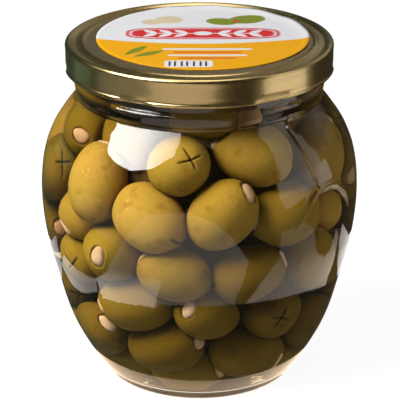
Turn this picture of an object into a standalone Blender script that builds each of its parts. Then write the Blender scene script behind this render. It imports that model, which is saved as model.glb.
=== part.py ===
"""A pot-bellied glass jar of garlic-stuffed olives with a lacquered twist-off lid.

The jar stands on its bearing ring at z = 0, its axis is Z and its front looks along -Y.
Lengths below are in millimetres and azimuths in degrees: 0 is the front and 90 is +X.
Every mesh is built in metres.
"""
import math

import bmesh
import bpy
import numpy as np
from mathutils import Matrix, Vector

MM = 0.001
GAP = 0.3

# Jar: outer radius at each height, from the heel to the neck
BELLY = ((3, 38.8), (12, 45.0), (26, 51.9), (44, 57.0), (62, 61.1), (78, 62.3),
         (92, 60.9), (102, 57.4), (110, 52.3), (116, 47.5))
WALL = 3.2
FLOOR_THICKNESS = 4.0
BEARING_RING = (31.0, 34.0)
PUSH_UP = 2.5
NECK_RADIUS = 48.2
NECK_RING_Z = 120.6
FINISH_RADIUS = 47.2
LIP_Z = 135.2
MOUTH_RADIUS = 43.6
THREAD_STARTS = 6
THREAD_RISE = 1.5

# Handles in relief on the shoulder, a strap that ends in a curled foot
HANDLE_AZIMUTHS = (51.0, 231.0)
STRAP_HALF_WIDTH = 7.4
STRAP_TOP_Z = 118.5
STRAP_FOOT_Z = 91.0
STRAP_LEAN = 2.0
STRAP_HEIGHT = (1.1, 1.6)
FOOT_CREST_Z = 92.3
FOOT_DROP = 0.049
FOOT_HALF_SPAN = 17.5
FOOT_HALF_THICKNESS = 3.0
FOOT_HEIGHT = 2.2
RELIEF_SOFTNESS = 1.6

# Lid: a tinplate cap with a double ridge, a rolled hem and six lugs
LID_RADIUS = 51.8
LID_TOP_Z = 137.1
LID_HEM_Z = 126.1
LID_METAL = 0.7
PANEL_Z = 136.5
PANEL_RADIUS = 42.8
LUG_AZIMUTH = 32.0
LUG_COUNT = 6
LUG_DEPTH = 0.8
LUG_HALF_WIDTH = 6.5

# Label: a paper disc, stuck on a little off centre
LABEL_RADIUS = 41.3
LABEL_CENTRE = (1.4, 3.4)
LABEL_THICKNESS = 0.3

# Olives
OLIVE_LENGTH = 28.5
OLIVE_DIAMETER = 22.6
OLIVE_CLEARANCE = 0.5
HEAP_TOP_Z = 122.0
LONGEST_STEP = 0.8
SINK_FREEDOM = 0.8
CORE_DEPTH = 15.0
CORE_TOP_Z = 112.0
CORE_FOOT_Z = 11.0
SEED = 11

# The olives that show at the front, as azimuth, height, depth behind the wall, size, and the
# azimuth and the rise of the way that the stuffed end points
FRONT_OLIVES = (
    (-84, 99, 7, 0.97, -25, 5), (-52, 88, 2, 1.00, 150, 65), (-22, 80, 2, 1.02, -130, 25),
    (10, 83, 1, 1.00, 75, 45), (-86, 84, 1, 0.92, 180, -30), (-50, 101, 13, 1.02, 185, 68),
    (-10, 99, 3, 0.94, -158, -30), (4, 117, 1, 0.90, 90, -5), (30, 101, 3, 1.04, -93, 15),
    (70, 95, 1, 0.96, 146, 55), (41, 79, 2, 0.97, -62, 0), (-68, 74, 11, 0.88, -90, -35),
    (-98, 61, 1, 0.90, 13, 15), (-43, 64, 3, 0.95, -34, 5), (-73, 56, 9, 0.82, 140, 10),
    (-11, 60, 2, 0.96, -105, 15), (23, 59, 2, 0.98, 100, 20), (57, 59, 1, 0.90, -105, 60),
    (-33, 44, 1, 1.00, -94, -10), (4, 42, 3, 0.92, -37, 25), (41, 39, 3, 0.96, -156, 0),
    (-64, 27, 0, 0.98, 5, 25), (-20, 26, 2, 0.97, 71, 15), (31, 22, 3, 1.00, 91, -26),
    (75, 29, 3, 0.91, 146, -53), (-108, 38, 1, 0.91, -165, 5), (72, 74, 10, 0.72, 162, -30),
    (-68, 15, 9, 0.84, -160, -30),
)
# Olives at the sides of the view and at the floor, as azimuth, height, size, and that way
EDGE_OLIVES = (
    (88, 47, 0.95, 60, 10), (82, 80, 0.92, 35, 5), (96, 103, 0.95, 20, 50),
    (-100, 106, 0.95, 30, 40), (-6, 12, 0.92, 95, 0), (-47, 12, 0.92, 60, 5),
    (38, 11, 0.92, 120, 5), (75, 12, 0.90, 150, 0), (-85, 13, 0.90, 10, 0),
)
# The back: a ring of olives at each height
BACK_RINGS = ((107, 3), (90, 4), (69, 5), (49, 5), (30, 4), (13, 3))
BACK_FROM, BACK_TO = 104.0, 262.0
# Inside: a few at each height, near the axis
INNER_RINGS = ((28, 2), (55, 3), (82, 3))
INNER_RADIUS = 19.0


def clear_scene():
    """Remove what a new scene holds."""
    for obj in list(bpy.data.objects):
        bpy.data.objects.remove(obj, do_unlink=True)


def smoothstep(low, high, value):
    """Rise from 0 at low to 1 at high, with flat ends."""
    share = min(1.0, max(0.0, (value - low) / (high - low)))
    return share * share * (3.0 - 2.0 * share)


def belly_radius(z):
    """Outer radius of the belly at a height: a smooth curve through the BELLY stations."""
    stations = BELLY
    z = min(max(z, stations[0][0]), stations[-1][0])
    index = 0
    while index < len(stations) - 2 and z > stations[index + 1][0]:
        index += 1

    def slope(i):
        before, after = stations[max(i - 1, 0)], stations[min(i + 1, len(stations) - 1)]
        return (after[1] - before[1]) / (after[0] - before[0])

    (z0, r0), (z1, r1) = stations[index], stations[index + 1]
    span = z1 - z0
    s = (z - z0) / span
    return ((2 * s**3 - 3 * s**2 + 1) * r0 + (s**3 - 2 * s**2 + s) * span * slope(index)
            + (3 * s**2 - 2 * s**3) * r1 + (s**3 - s**2) * span * slope(index + 1))


def handle_relief(azimuth, z):
    """How far the two moulded handles stand out of the belly at a place."""
    best = 0.0
    radius = belly_radius(z)
    for centre in HANDLE_AZIMUTHS:
        turn = (azimuth - centre + 180.0) % 360.0 - 180.0
        if abs(turn) > 30.0:
            continue
        share = smoothstep(STRAP_FOOT_Z, STRAP_TOP_Z, z)
        across = math.radians(turn + STRAP_LEAN * (2.0 * share - 1.0)) * radius
        half = STRAP_HALF_WIDTH - 3.0 * smoothstep(113.0, STRAP_TOP_Z, z)
        height = STRAP_HEIGHT[1] + (STRAP_HEIGHT[0] - STRAP_HEIGHT[1]) * share
        ends = smoothstep(STRAP_FOOT_Z - 2.0, STRAP_FOOT_Z, z)
        ends *= 1.0 - smoothstep(STRAP_TOP_Z - 3.5, STRAP_TOP_Z, z)
        strap = height * ends * smoothstep(-RELIEF_SOFTNESS, RELIEF_SOFTNESS, half - abs(across))
        along = math.radians(turn) * radius
        taper = 1.0 - (along / FOOT_HALF_SPAN) ** 4
        foot = 0.0
        if taper > 0.0:
            off_crest = abs(z - (FOOT_CREST_Z - FOOT_DROP * along * along))
            edge = FOOT_HALF_THICKNESS * taper - off_crest
            foot = FOOT_HEIGHT * taper * smoothstep(-RELIEF_SOFTNESS, RELIEF_SOFTNESS, edge)
        best = max(best, strap, foot)
    return best


def thread_relief(azimuth, z):
    """Height of the short slanting threads round the finish."""
    step = 360.0 / THREAD_STARTS
    share = ((azimuth - LUG_AZIMUTH + 20.0) % step) / step
    centre = 131.5 - 3.0 * share
    ends = smoothstep(0.0, 0.15, share) * (1.0 - smoothstep(0.8, 0.95, share))
    return THREAD_RISE * ends * max(0.0, 1.0 - abs(z - centre) / 1.6)


def turned_body(name, rings, azimuths, place):
    """Close a body of rings: place(ring, azimuth) gives radius and height in millimetres.

    The first and the last ring are closed by a point on the axis at their own height.
    """
    mesh = bpy.data.meshes.new(name)
    bm = bmesh.new()
    rows = []
    for ring in rings:
        row = []
        for azimuth in azimuths:
            radius, z = place(ring, azimuth)
            angle = math.radians(azimuth)
            row.append(bm.verts.new((radius * math.sin(angle) * MM,
                                     -radius * math.cos(angle) * MM, z * MM)))
        rows.append(row)
    count = len(azimuths)
    for upper, lower in zip(rows, rows[1:]):
        for i in range(count):
            j = (i + 1) % count
            bm.faces.new((upper[i], upper[j], lower[j], lower[i]))
    for row in (rows[0], rows[-1]):
        tip = bm.verts.new((0.0, 0.0, sum(v.co.z for v in row) / count))
        for i in range(count):
            bm.faces.new((row[(i + 1) % count], row[i], tip))
    bmesh.ops.recalc_face_normals(bm, faces=bm.faces)
    bm.to_mesh(mesh)
    bm.free()
    obj = bpy.data.objects.new(name, mesh)
    bpy.context.collection.objects.link(obj)
    mesh.shade_smooth()
    mesh.set_sharp_from_angle(angle=math.radians(35.0))
    return obj


def material(name, colour, roughness, metallic=0.0, transmission=0.0):
    """A Principled material of one colour."""
    mat = bpy.data.materials.new(name)
    mat.use_nodes = True
    shader = mat.node_tree.nodes["Principled BSDF"]
    shader.inputs["Base Color"].default_value = (*colour, 1.0)
    shader.inputs["Roughness"].default_value = roughness
    shader.inputs["Metallic"].default_value = metallic
    shader.inputs["Transmission Weight"].default_value = transmission
    return mat


def handle_columns():
    """Azimuths of the jar's columns, close together across each handle."""
    azimuths = []
    fine_half, fine_step, coarse_count = 21.0, 3.0, 16
    for centre in HANDLE_AZIMUTHS:
        start = centre - fine_half
        fine_count = int(round(2 * fine_half / fine_step))
        azimuths += [start + fine_step * i for i in range(fine_count)]
        coarse_step = (180.0 - 2 * fine_half) / coarse_count
        azimuths += [centre + fine_half + coarse_step * i for i in range(coarse_count)]
    return azimuths


def make_jar():
    """The glass jar: belly with two moulded handles, neck ring, threads, thick floor."""
    outer = [(4.0, PUSH_UP, "plain"), (22.0, PUSH_UP - 0.4, "plain")]
    outer += [(BEARING_RING[0], 0.0, "plain"), (BEARING_RING[1], 0.0, "plain")]
    heel_radius, heel_z = BELLY[0][1], BELLY[0][0]
    for share in (0.4, 0.75):
        angle = share * math.pi / 2
        outer.append((BEARING_RING[1] + (heel_radius - BEARING_RING[1]) * math.sin(angle),
                      heel_z * (1.0 - math.cos(angle)), "plain"))
    heights = (3, 10, 20, 31, 43, 55, 66, 74, 79, 83, 87, 90, 93, 96, 100, 105, 110, 114, 117)
    outer += [(belly_radius(z), float(z), "belly") for z in heights]
    outer += [(NECK_RADIUS - 0.9, 118.8, "plain"), (NECK_RADIUS + 0.5, NECK_RING_Z, "plain"),
              (FINISH_RADIUS, 122.6, "plain")]
    outer += [(FINISH_RADIUS, z, "thread") for z in (126.6, 128.2, 129.8, 131.4, 133.0)]
    outer += [(FINISH_RADIUS - 0.3, LIP_Z - 0.7, "plain"), (FINISH_RADIUS - 1.3, LIP_Z, "plain")]
    inner = [(MOUTH_RADIUS + 0.8, LIP_Z, "plain"), (MOUTH_RADIUS, LIP_Z - 1.0, "plain"),
             (MOUTH_RADIUS, 117.5, "plain")]
    for z in (111, 105, 97, 87, 76, 60, 44, 28, 15):
        inner.append((belly_radius(z) - WALL, float(z), "plain"))
    inner += [(belly_radius(10) - WALL - 3.0, FLOOR_THICKNESS + 2.2, "plain"),
              (30.0, FLOOR_THICKNESS, "plain")]

    def place(ring, azimuth):
        radius, z, kind = ring
        if kind == "belly":
            radius += handle_relief(azimuth, z)
        if kind == "thread":
            radius += thread_relief(azimuth, z)
        return radius, z

    jar = turned_body("jar", outer + inner, handle_columns(), place)
    jar.data.materials.append(material("clear_glass", (0.93, 0.97, 0.96), 0.03, 0.0, 1.0))
    return jar


def lid_top(radius):
    """Height of the lid's top face at a radius: flat panel, inner ridge, groove, rim."""
    stations = ((0.0, PANEL_Z), (PANEL_RADIUS, PANEL_Z), (44.9, LID_TOP_Z - 0.1),
                (48.2, 136.2), (51.0, LID_TOP_Z), (LID_RADIUS, LID_TOP_Z - 1.0))
    for (r0, z0), (r1, z1) in zip(stations, stations[1:]):
        if radius <= r1:
            return z0 + (z1 - z0) * (radius - r0) / (r1 - r0)
    return stations[-1][1]


def make_lid():
    """The lid: its top, rim, skirt and hem, with the hem pressed in at each lug."""
    rings = [(r, lid_top(r), 0.0) for r in (PANEL_RADIUS, 44.9, 48.2, 51.0, LID_RADIUS)]
    rings += [(LID_RADIUS - 0.1, LID_HEM_Z + 2.4, 0.15), (LID_RADIUS + 0.3, LID_HEM_Z + 1.0, 0.7),
              (LID_RADIUS - 0.2, LID_HEM_Z, 1.0), (LID_RADIUS - LID_METAL - 0.5, LID_HEM_Z + 0.6, 1.0),
              (LID_RADIUS - LID_METAL - 0.1, LID_HEM_Z + 2.6, 0.15),
              (LID_RADIUS - LID_METAL - 0.1, PANEL_Z - LID_METAL - 0.4, 0.0),
              (LID_RADIUS - LID_METAL - 1.2, PANEL_Z - LID_METAL, 0.0)]
    columns = 60
    azimuths = [LUG_AZIMUTH + 360.0 * i / columns for i in range(columns)]
    pitch = 360.0 / LUG_COUNT

    def place(ring, azimuth):
        radius, z, press = ring
        off_lug = abs((azimuth - LUG_AZIMUTH + pitch / 2) % pitch - pitch / 2)
        pressed = 1.0 - smoothstep(LUG_HALF_WIDTH - 3.0, LUG_HALF_WIDTH + 3.0, off_lug)
        return radius - LUG_DEPTH * press * pressed, z

    lid = turned_body("lid", rings, azimuths, place)
    lid.data.materials.append(material("gold_lacquer", (0.60, 0.47, 0.22), 0.25, 0.9))
    return lid


def make_label():
    """The paper disc: it lies on the panel, and its back edge climbs over the inner ridge."""
    columns, ring_radii = 40, (30.0, 38.5, LABEL_RADIUS)
    mesh = bpy.data.meshes.new("label")
    bm = bmesh.new()

    def rest_height(x, y):
        radius = math.hypot(x, y)
        climb = smoothstep(PANEL_RADIUS - 4.5, 44.9, radius) * (LID_TOP_Z - 0.1 - PANEL_Z)
        wave = 0.15 * smoothstep(42.0, 44.9, radius) * (1.0 + math.sin(math.atan2(x, y) * 14.0))
        return PANEL_Z + GAP + climb + wave

    sides = []
    for lift in (LABEL_THICKNESS, 0.0):
        centre = bm.verts.new((LABEL_CENTRE[0] * MM, LABEL_CENTRE[1] * MM,
                               (rest_height(*LABEL_CENTRE) + lift) * MM))
        rows = []
        for radius in ring_radii:
            row = []
            for i in range(columns):
                angle = 2 * math.pi * i / columns
                x = LABEL_CENTRE[0] + radius * math.sin(angle)
                y = LABEL_CENTRE[1] - radius * math.cos(angle)
                row.append(bm.verts.new((x * MM, y * MM, (rest_height(x, y) + lift) * MM)))
            rows.append(row)
        for i in range(columns):
            j = (i + 1) % columns
            bm.faces.new((centre, rows[0][i], rows[0][j]))
            for inside, outside in zip(rows, rows[1:]):
                bm.faces.new((inside[i], outside[i], outside[j]))
                bm.faces.new((inside[i], outside[j], inside[j]))
        sides.append(rows[-1])
    top, bottom = sides
    for i in range(columns):
        j = (i + 1) % columns
        bm.faces.new((top[i], bottom[i], bottom[j]))
        bm.faces.new((top[i], bottom[j], top[j]))
    bmesh.ops.recalc_face_normals(bm, faces=bm.faces)
    bm.to_mesh(mesh)
    bm.free()
    label = bpy.data.objects.new("label", mesh)
    bpy.context.collection.objects.link(label)
    mesh.materials.append(material("printed_paper", (0.82, 0.52, 0.16), 0.45))
    return label


def direction(azimuth, rise):
    """Unit vector towards an azimuth, raised by an angle, as a numpy array."""
    a, e = math.radians(azimuth), math.radians(rise)
    return np.array((math.sin(a) * math.cos(e), -math.cos(a) * math.cos(e), math.sin(e)))


def cavity_radius(z):
    """Inner radius of the jar at a height, closing round the heel and at the neck."""
    if z > 117.0:
        return MOUTH_RADIUS
    heel = 3.5 * (1.0 - smoothstep(FLOOR_THICKNESS - 1.0, 12.0, z))
    neck_in = smoothstep(110.0, 117.0, z)
    return (belly_radius(z) - WALL - heel) * (1.0 - neck_in) + MOUTH_RADIUS * neck_in


def room_for_ball(z, radius):
    """How far from the axis a ball's centre can be at a height, for the ball to clear the wall."""
    room = 100.0
    for rise in range(-75, 76, 15):
        a = math.radians(rise)
        room = min(room, cavity_radius(z + radius * math.sin(a)) - radius * math.cos(a))
    return room


def olive_list():
    """All olives as dictionaries: home and long axis in millimetres, length, width and place."""
    rng = np.random.default_rng(SEED)
    olives = []

    def add(azimuth, z, depth, size, heading, rise, where):
        width = OLIVE_DIAMETER * size
        radius = room_for_ball(z, width / 2 + OLIVE_CLEARANCE) - depth
        radius = INNER_RADIUS if where == "inner" else radius
        home = radius * direction(azimuth, 0.0) + np.array((0.0, 0.0, z))
        olives.append({"home": home, "where": where, "length": OLIVE_LENGTH * size,
                       "width": width, "axis": direction(heading, rise)})

    for row in FRONT_OLIVES:
        add(*row, "front")
    for azimuth, z, size, heading, rise in EDGE_OLIVES:
        add(azimuth, z, 0.0, size, heading, rise, "edge")
    for ring, (z, count) in enumerate(BACK_RINGS):
        for i in range(count):
            share = (i + 0.5 + 0.25 * (-1) ** ring) / count
            azimuth = BACK_FROM + (BACK_TO - BACK_FROM) * share
            heading = azimuth + 90.0 + rng.uniform(-25, 25)
            add(azimuth, z, 0.0, rng.uniform(0.94, 1.05), heading, rng.uniform(-60, 60), "back")
    for ring, (z, count) in enumerate(INNER_RINGS):
        for i in range(count):
            azimuth = 360.0 * (i + 0.5 * (ring % 2)) / count
            add(azimuth, z, 0.0, rng.uniform(0.92, 1.0), rng.uniform(0, 360),
                rng.uniform(-50, 50), "inner")
    return olives


def settle(olives, rounds=260):
    """Push the olives apart until they only touch; the front ones stay in their places.

    An olive is taken as three balls along its axis.
    """
    offsets, balls = np.array((-0.22, 0.0, 0.22)), np.array((0.435, 0.5, 0.435))
    lengths = np.array([o["length"] for o in olives])
    widths = np.array([o["width"] for o in olives])
    axes = np.array([o["axis"] for o in olives])
    homes = np.array([o["home"] for o in olives])
    free = np.array([o["where"] != "front" for o in olives])
    hold = np.array([0.06 if o["where"] == "edge" else 0.004 for o in olives])
    centres = homes.copy()
    outward = homes * (1.0, 1.0, 0.0)
    outward /= np.linalg.norm(outward, axis=1, keepdims=True)
    reach = (offsets[None, :] * lengths[:, None])[:, :, None] * axes[:, None, :]
    radii = (balls[None, :] * widths[:, None]).ravel()
    owner = np.repeat(np.arange(len(olives)), 3)
    others = owner[:, None] != owner[None, :]
    for turn in range(rounds):
        loosening = 1.0 - 0.9 * turn / rounds
        points = (centres[:, None, :] + reach).reshape(-1, 3)
        apart = points[:, None, :] - points[None, :, :]
        distance = np.linalg.norm(apart, axis=2) + 1e-9
        overlap = np.where(others, radii[:, None] + radii[None, :] - distance, 0.0)
        overlap = np.maximum(overlap, 0.0)
        push = (apart / distance[:, :, None] * overlap[:, :, None]).sum(axis=1)
        moves = np.zeros_like(centres)
        np.add.at(moves, owner, 0.12 * push)
        away = homes - centres
        inward = (away * outward).sum(axis=1, keepdims=True) * outward
        moves += loosening * hold[:, None] * (away - SINK_FREEDOM * inward)
        moves *= free[:, None]
        length = np.linalg.norm(moves, axis=1, keepdims=True)
        centres = centres + moves * np.minimum(1.0, LONGEST_STEP / (length + 1e-9))
        points = (centres[:, None, :] + reach).reshape(-1, 3)
        for index, point in enumerate(points):
            olive, radius = owner[index], radii[index] + OLIVE_CLEARANCE
            if not free[olive]:
                continue
            out = math.hypot(point[0], point[1])
            excess = out - room_for_ball(point[2], radius)
            if excess > 0.0:
                centres[olive, :2] -= point[:2] / out * excess
            centres[olive, 2] += max(0.0, FLOOR_THICKNESS + radius - point[2])
            centres[olive, 2] -= max(0.0, point[2] + radius - HEAP_TOP_Z)
    for olive, centre in zip(olives, centres):
        olive["centre"] = centre
    return olives


def make_olives():
    """The heap: a turned core, and every olive that lies at the wall fused onto it."""
    heights = [CORE_FOOT_Z + (CORE_TOP_Z - CORE_FOOT_Z) * i / 8 for i in range(9)]
    rings = [(cavity_radius(z) - CORE_DEPTH - 4.0 * (1.0 - smoothstep(0, 20, z - CORE_FOOT_Z)), z)
             for z in heights]
    core = turned_body("olives", rings, [15.0 * i for i in range(24)], lambda ring, _: ring)
    fused = bpy.data.collections.new("fused_olives")
    bpy.context.scene.collection.children.link(fused)
    shown = [o for o in settle(olive_list()) if o["where"] != "inner"]
    for index, olive in enumerate(shown):
        mesh = bpy.data.meshes.new(f"olive_{index}")
        bm = bmesh.new()
        bmesh.ops.create_uvsphere(bm, u_segments=9, v_segments=6, radius=0.5 * MM)
        width, length = olive["width"], olive["length"]
        shape = Matrix.Diagonal((width, width, length, 1.0))
        turn = Vector(olive["axis"]).to_track_quat("Z", "Y").to_matrix().to_4x4()
        bmesh.ops.transform(bm, matrix=turn @ shape, verts=bm.verts)
        bm.to_mesh(mesh)
        bm.free()
        obj = bpy.data.objects.new(mesh.name, mesh)
        obj.location = Vector(olive["centre"]) * MM
        fused.objects.link(obj)
    union = core.modifiers.new("union", "BOOLEAN")
    union.operation = "UNION"
    union.operand_type = "COLLECTION"
    union.collection = fused
    union.solver = "EXACT"
    bpy.context.view_layer.update()
    solid = bpy.data.meshes.new_from_object(core.evaluated_get(
        bpy.context.evaluated_depsgraph_get()))
    core.modifiers.clear()
    core.data = solid
    for obj in list(fused.objects):
        bpy.data.objects.remove(obj, do_unlink=True)
    bpy.data.collections.remove(fused)
    keep_outer_body(solid)
    solid.materials.clear()
    solid.materials.append(material("green_olive", (0.42, 0.30, 0.06), 0.45))
    return core


def keep_outer_body(mesh):
    """Drop every closed pocket and scrap, and keep the largest connected surface."""
    bm = bmesh.new()
    bm.from_mesh(mesh)
    bmesh.ops.remove_doubles(bm, verts=bm.verts, dist=0.02 * MM)
    bmesh.ops.dissolve_degenerate(bm, edges=bm.edges, dist=0.01 * MM)
    bmesh.ops.triangulate(bm, faces=bm.faces)
    unseen, bodies = set(bm.faces), []
    while unseen:
        body, edge_of_body = set(), [unseen.pop()]
        while edge_of_body:
            face = edge_of_body.pop()
            body.add(face)
            for edge in face.edges:
                for near in edge.link_faces:
                    if near in unseen:
                        unseen.discard(near)
                        edge_of_body.append(near)
        bodies.append(body)
    bodies.sort(key=len)
    for body in bodies[:-1]:
        bmesh.ops.delete(bm, geom=list(body), context="FACES")
    loose = [v for v in bm.verts if not v.link_faces]
    bmesh.ops.delete(bm, geom=loose, context="VERTS")
    bm.to_mesh(mesh)
    bm.free()


clear_scene()
make_jar()
make_lid()
make_label()
make_olives()
for built in bpy.data.objects:
    print(built.name, len(built.data.polygons), "faces")
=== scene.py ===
# %% [markdown]
# A shut jar of garlic-stuffed olives.
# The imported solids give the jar, its lid, the paper label and the heap of olives as plain
# closed bodies. This lesson dresses them one after the other: glass with brine behind it,
# single olives with their stuffing, gold lacquered tinplate and a printed paper disc.
# Lengths in this script are millimetres unless a name says otherwise, and MM turns them into
# metres. An azimuth of 0 is the front of the jar, which looks along -Y, and 90 is +X.

# %% Load the frame
import math

import bmesh
import bpy
import numpy as np
from mathutils import Matrix, Vector


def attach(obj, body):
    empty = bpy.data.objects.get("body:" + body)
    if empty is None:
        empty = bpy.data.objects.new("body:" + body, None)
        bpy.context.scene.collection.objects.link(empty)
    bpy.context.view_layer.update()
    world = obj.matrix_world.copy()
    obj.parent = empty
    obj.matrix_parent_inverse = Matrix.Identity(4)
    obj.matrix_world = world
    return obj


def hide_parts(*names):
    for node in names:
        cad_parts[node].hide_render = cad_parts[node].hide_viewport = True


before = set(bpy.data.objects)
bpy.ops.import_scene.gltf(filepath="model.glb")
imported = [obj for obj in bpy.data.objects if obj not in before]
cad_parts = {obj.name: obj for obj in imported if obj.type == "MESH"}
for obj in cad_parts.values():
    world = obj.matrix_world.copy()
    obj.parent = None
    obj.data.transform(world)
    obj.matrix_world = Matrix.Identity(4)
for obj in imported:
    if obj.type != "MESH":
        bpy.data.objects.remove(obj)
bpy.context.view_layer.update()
MM = 0.001
print("nodes:", sorted(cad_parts))

# %% [markdown]
# The camera stands where the photographer's did: 0.7 m from the jar's axis, looking 22 degrees
# down through a long lens. A wide lens closer by would fill the picture as well, but only a
# long one keeps the lid's ellipse and the belly's outline true. The picture is taken as 400
# pixels wide on a 36 mm sensor.

# %% Camera
CAMERA_BACK, CAMERA_HEIGHT, CAMERA_PITCH = 700.0, 351.95, 21.94
CAMERA_SIDE = 0.25
FOCAL_PIXELS, PICTURE_PIXELS, SENSOR = 1894.6, 400.0, 36.0


def new_object(name, data):
    """Put an object with its data into the scene."""
    obj = bpy.data.objects.new(name, data)
    bpy.context.collection.objects.link(obj)
    return obj


camera_data = bpy.data.cameras.new("camera")
camera_data.sensor_width = SENSOR
camera_data.lens = FOCAL_PIXELS / PICTURE_PIXELS * SENSOR
camera = new_object("camera", camera_data)
camera.location = (CAMERA_SIDE * MM, -CAMERA_BACK * MM, CAMERA_HEIGHT * MM)
camera.rotation_euler = (math.radians(90.0 - CAMERA_PITCH), 0.0, 0.0)
bpy.context.scene.camera = camera
bpy.context.scene.view_settings.view_transform = "Standard"
print("lens", round(camera_data.lens, 1), "mm")

# %% [markdown]
# Materials and the world are made of shader nodes. They could be laid out by hand in the
# editor. Here each helper adds one node, links what is a socket, sets what is a number or a
# colour, and gives back the node's output, so that the later cells read like formulas.

# %% Node helpers
def feed(tree, node, values):
    """Give a node's inputs, by name or number, a socket to link, a number or a colour."""
    for key, value in values.items():
        if isinstance(value, bpy.types.NodeSocket):
            tree.links.new(value, node.inputs[key])
        elif isinstance(value, tuple):
            node.inputs[key].default_value = (*value, 1.0)
        else:
            node.inputs[key].default_value = value


def maths(tree, operation, *values):
    """The output of a math node on sockets or numbers."""
    node = tree.nodes.new("ShaderNodeMath")
    node.operation = operation
    feed(tree, node, dict(enumerate(values)))
    return node.outputs[0]


def mapped(tree, value, low, high, at_low=0.0, at_high=1.0):
    """A value moved from one range to another, and held at its ends."""
    node = tree.nodes.new("ShaderNodeMapRange")
    feed(tree, node, {"Value": value, "From Min": low, "From Max": high,
                      "To Min": at_low, "To Max": at_high})
    return node.outputs["Result"]


def colour_mix(tree, factor, first, second, blend="MIX"):
    """Mix two colours, each a socket or a tuple, by a socket or a number."""
    node = tree.nodes.new("ShaderNodeMix")
    node.data_type = "RGBA"
    node.blend_type = blend
    feed(tree, node, {"Factor": factor, "A": first, "B": second})
    return node.outputs["Result"]


def attribute(tree, name, output):
    """An attribute that was written on the mesh."""
    node = tree.nodes.new("ShaderNodeAttribute")
    node.attribute_name = name
    return node.outputs[output]


def object_place(tree):
    """The place on the object, in metres."""
    return tree.nodes.new("ShaderNodeTexCoord").outputs["Object"]


def axis_parts(tree, vector):
    """The X, Y and Z of a vector, as outputs by name."""
    node = tree.nodes.new("ShaderNodeSeparateXYZ")
    tree.links.new(vector, node.inputs[0])
    return node.outputs


def principled(name):
    """A new material with its Principled shader, as material, node tree and shader."""
    mat = bpy.data.materials.new(name)
    mat.use_nodes = True
    return mat, mat.node_tree, mat.node_tree.nodes["Principled BSDF"]


print("node helpers ready in Blender", bpy.app.version_string)

# %% [markdown]
# Glass shows little of itself: it shows what stands around it. So the studio is built with the
# same care as the jar. A softbox high on the left is the key light, and a dim tall panel
# stands on the right. Both could be seen in the glass as they are, but a real softbox lights
# and mirrors at once, and here each has to be set alone. So lamps only light the jar, and
# glowing cards, which only reflections see, draw what the glass and the lid mirror.

# %% Lamps
LAMP_TARGET_Z = 80.0


def direction(azimuth, rise):
    """Unit vector towards an azimuth, raised by an angle, as a numpy array."""
    a, e = math.radians(azimuth), math.radians(rise)
    return np.array((math.sin(a) * math.cos(e), -math.cos(a) * math.cos(e), math.sin(e)))


def area_lamp(name, azimuth, rise, distance, size, radiance, colour, roll=0.0):
    """A lamp aimed at the jar, which isn't seen itself. Its shadow rays pass the glass."""
    lamp = bpy.data.lights.new(name, "AREA")
    lamp.shape = "RECTANGLE"
    lamp.size, lamp.size_y = size[0] * MM, size[1] * MM
    lamp.energy = math.pi * radiance * lamp.size * lamp.size_y
    lamp.color = colour
    obj = new_object(name, lamp)
    way = Vector(direction(azimuth, rise))
    obj.location = (Vector((0.0, 0.0, LAMP_TARGET_Z)) + distance * way) * MM
    obj.rotation_mode = "QUATERNION"
    turn = Matrix.Rotation(math.radians(roll), 4, "Z").to_quaternion()
    obj.rotation_quaternion = (-way).to_track_quat("-Z", "Y") @ turn
    for ray_kind in ("camera", "transmission", "glossy"):
        setattr(obj, "visible_" + ray_kind, False)
    print(name, round(lamp.energy, 1), "W")


area_lamp("key_softbox", -66.0, 44.0, 900.0, (640.0, 480.0), 26.0, (1.0, 0.985, 0.96), 28.0)
area_lamp("side_panel", 84.0, 12.0, 700.0, (420.0, 900.0), 1.6, (0.93, 0.97, 1.0))

# %% [markdown]
# A card is a flat glowing sheet. It could be one plain rectangle, but the haze in the photo's
# glass has zones with their own edges. So each card has its own outline, and some fade with
# the distance from the jar or have a glow of their own at each corner.

# %% Card helpers
def emissive(name, colour, strength, fade=None):
    """A glowing material, which no lamp sampling looks for.

    A strength of None is read from each corner's own glow. A fade is the distance where the
    light begins to fade, the distance where it has faded, and the strength there.
    """
    mat = bpy.data.materials.new(name)
    mat.use_nodes = True
    mat.cycles.emission_sampling = "NONE"
    tree = mat.node_tree
    tree.nodes.clear()
    glow, out = tree.nodes.new("ShaderNodeEmission"), tree.nodes.new("ShaderNodeOutputMaterial")
    if strength is None:
        strength = attribute(tree, "glow", "Fac")
    elif fade:
        length = tree.nodes.new("ShaderNodeVectorMath")
        length.operation = "LENGTH"
        tree.links.new(object_place(tree), length.inputs[0])
        strength = mapped(tree, length.outputs["Value"], fade[0] * MM, fade[1] * MM,
                          strength, fade[2])
    feed(tree, glow, {"Color": colour, "Strength": strength})
    tree.links.new(glow.outputs[0], out.inputs[0])
    return mat


def sheet(name, corners, faces, mat, hidden_from):
    """A surface of the stage through corners in millimetres, hidden from some kinds of ray."""
    mesh = bpy.data.meshes.new(name)
    mesh.from_pydata([tuple(float(v) * MM for v in c) for c in corners], [], faces)
    mesh.materials.append(mat)
    obj = new_object(name, mesh)
    for ray_kind in hidden_from:
        setattr(obj, "visible_" + ray_kind, False)
    return obj


def card(name, corners, faces, mat):
    """A glowing surface that only reflections see."""
    return sheet(name, corners, faces, mat,
                 ("camera", "diffuse", "transmission", "shadow", "volume_scatter"))


def table_card(name, outline, height, colour, strength, fade=None):
    """A card that lies on the table."""
    corners = [(x, y, height) for x, y in outline]
    card(name, corners, [tuple(range(len(corners)))], emissive(name, colour, strength, fade))


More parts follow.
